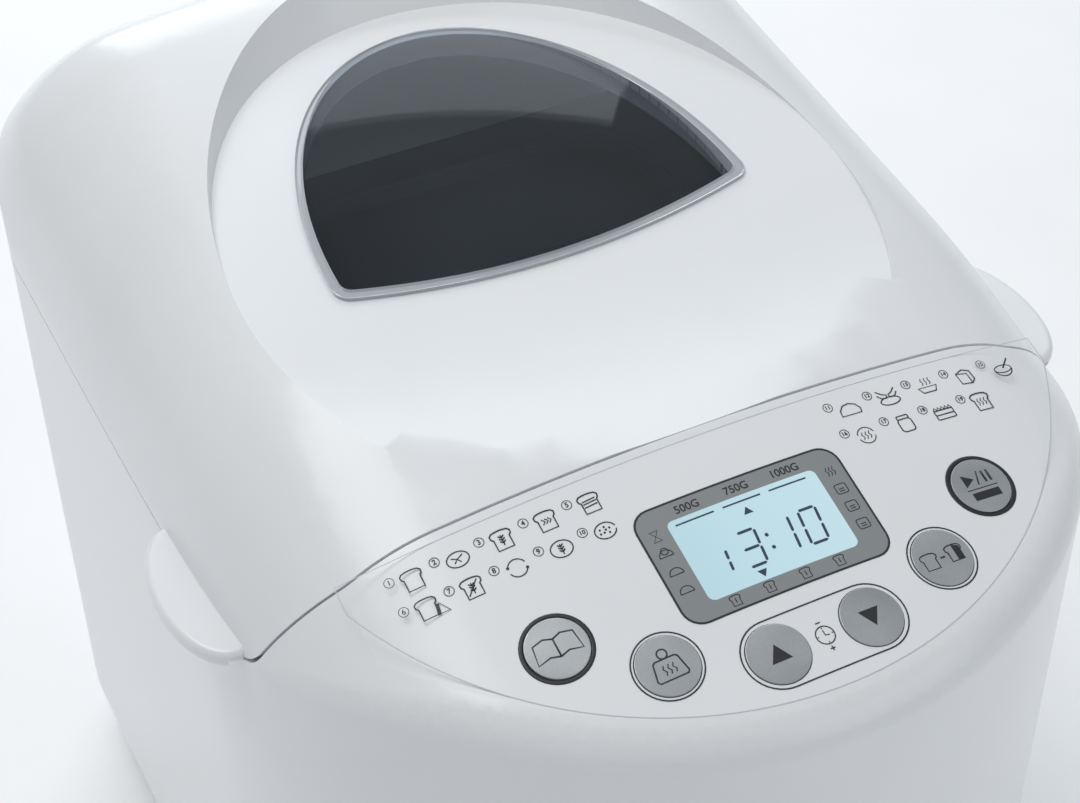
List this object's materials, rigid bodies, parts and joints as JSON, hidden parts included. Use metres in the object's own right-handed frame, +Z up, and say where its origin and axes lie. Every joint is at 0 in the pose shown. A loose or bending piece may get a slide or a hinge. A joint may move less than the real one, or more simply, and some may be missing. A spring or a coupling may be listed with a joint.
{
  "type": "bread machine",
  "caption": "Bread machine with a round nose, sloping keypad and display, hinged lid with a domed window, and a lift-out bread pan with a belt-driven kneading paddle.",
  "frame": {"origin": "middle of the footprint, on the table under the feet", "axes": "+X to the user's right, +Y from the nose to the hinged back, +Z up"},
  "size_m": [0.29, 0.349, 0.3071],
  "materials": {
    "white_shell": "satin",
    "white_inner": "matte",
    "panel_film": "satin",
    "silver_button": "satin metallic",
    "window": "clear, domed",
    "window_trim": "polished",
    "display_clear": "clear",
    "display_cell": "pale cyan, backlit",
    "backlight": "diffuse",
    "dark_plastic": "matte",
    "circuit_board": "satin",
    "steel": "brushed",
    "sheet_steel": "plain",
    "aluminium": "cast",
    "pan_coating": "non-stick, satin",
    "element_steel": "dark, heat tinted",
    "ceramic": "ceramic",
    "bronze": "sintered",
    "rubber": "matte",
    "silicone": "soft",
    "motor_can": "satin"
  },
  "bodies": {
    "casing": {"housing": "white_shell", "base_tray": "white_shell", "base_plate": "sheet_steel", "feet": "rubber", "base_screws": "steel", "cord_gland": "dark_plastic", "control_overlay": "panel_film", "display_lens": "display_clear", "display_cell": "display_cell", "display_backlight": "backlight", "display_frame": "dark_plastic", "control_board": "circuit_board", "tact_switches": "dark_plastic", "board_screws": "steel", "hinge_brackets": "white_inner", "hinge_pins": "steel", "chassis": "sheet_steel", "oven_chamber": "sheet_steel", "heating_element": "element_steel", "element_bushes": "ceramic", "element_posts": "steel", "temperature_sensor": "steel", "thermal_fuse": "ceramic", "pan_socket": "aluminium", "motor": "motor_can", "motor_grommets": "rubber", "drive_belt": "rubber", "main_bearing": "bronze", "run_capacitor": "dark_plastic", "power_board": "circuit_board"},
    "lid": {"lid_shell": "white_shell", "lid_frame": "white_shell", "lid_liner": "sheet_steel", "inner_glass": "window", "lid_seal": "silicone", "window_trim": "window_trim", "lid_window": "window", "hinge_arms": "white_inner"},
    "pan": {"bread_pan": "pan_coating", "pan_ring": "aluminium", "pan_bearing": "bronze"},
    "handle": {"pan_handle": "steel"},
    "paddle": {"kneading_paddle": "pan_coating", "pan_shaft": "steel", "pan_dog": "steel"},
    "spindle": {"drive_shaft": "steel", "large_pulley": "dark_plastic", "drive_dog": "steel"},
    "motor_rotor": {"motor_shaft": "steel", "motor_pulley": "dark_plastic"},
    "menu_key": {"button_menu": "silver_button"},
    "start_key": {"button_start": "silver_button"},
    "weight_key": {"button_weight": "silver_button"},
    "crust_key": {"button_crust": "silver_button"},
    "up_key": {"button_up": "silver_button"},
    "down_key": {"button_down": "silver_button"}
  },
  "joints": [
    {"name": "lid_hinge", "type": "hinge", "parent": "casing", "child": "lid", "pos_m": [0, 0.16, 0.246], "axis": [-1, 0, 0], "range_deg": [0, 75]},
    {"name": "pan_lift", "type": "slide", "parent": "casing", "child": "pan", "axis": [0, 0, 1], "range_m": [0, 0.015]},
    {"name": "handle_swing", "type": "hinge", "parent": "pan", "child": "handle", "pos_m": [0, 0.04, 0.188], "axis": [1, 0, 0], "range_deg": [0, 45]},
    {"name": "paddle_spin", "type": "hinge", "parent": "pan", "child": "paddle", "pos_m": [0, 0.04, 0.1], "axis": [0, 0, 1], "continuous": true},
    {"name": "drive_spin", "type": "hinge", "parent": "casing", "child": "spindle", "pos_m": [0, 0.04, 0.03], "axis": [0, 0, 1], "continuous": true},
    {"name": "motor_spin", "type": "hinge", "parent": "casing", "child": "motor_rotor", "pos_m": [0, -0.0965, 0.03], "axis": [0, 0, 1], "continuous": true},
    {"name": "menu_press", "type": "slide", "parent": "casing", "child": "menu_key", "axis": [0.0868, 0.2706, -0.9588], "range_m": [0, 0.0008], "stiffness_N_per_m": 400, "springref_m": -0.0015},
    {"name": "start_press", "type": "slide", "parent": "casing", "child": "start_key", "axis": [-0.0868, 0.2706, -0.9588], "range_m": [0, 0.0008], "stiffness_N_per_m": 400, "springref_m": -0.0015},
    {"name": "weight_press", "type": "slide", "parent": "casing", "child": "weight_key", "axis": [0.0557, 0.2712, -0.9609], "range_m": [0, 0.0008], "stiffness_N_per_m": 400, "springref_m": -0.0015},
    {"name": "crust_press", "type": "slide", "parent": "casing", "child": "crust_key", "axis": [-0.0557, 0.2712, -0.9609], "range_m": [0, 0.0008], "stiffness_N_per_m": 400, "springref_m": -0.0015},
    {"name": "up_press", "type": "slide", "parent": "casing", "child": "up_key", "axis": [0.0188, 0.2716, -0.9622], "range_m": [0, 0.0008], "stiffness_N_per_m": 400, "springref_m": -0.0015},
    {"name": "down_press", "type": "slide", "parent": "casing", "child": "down_key", "axis": [-0.0188, 0.2716, -0.9622], "range_m": [0, 0.0008], "stiffness_N_per_m": 400, "springref_m": -0.0015}
  ],
  "couplings": [
    {"joint": "paddle_spin", "follows": "drive_spin", "ratio": 1},
    {"joint": "motor_spin", "follows": "drive_spin", "ratio": 5}
  ]
}
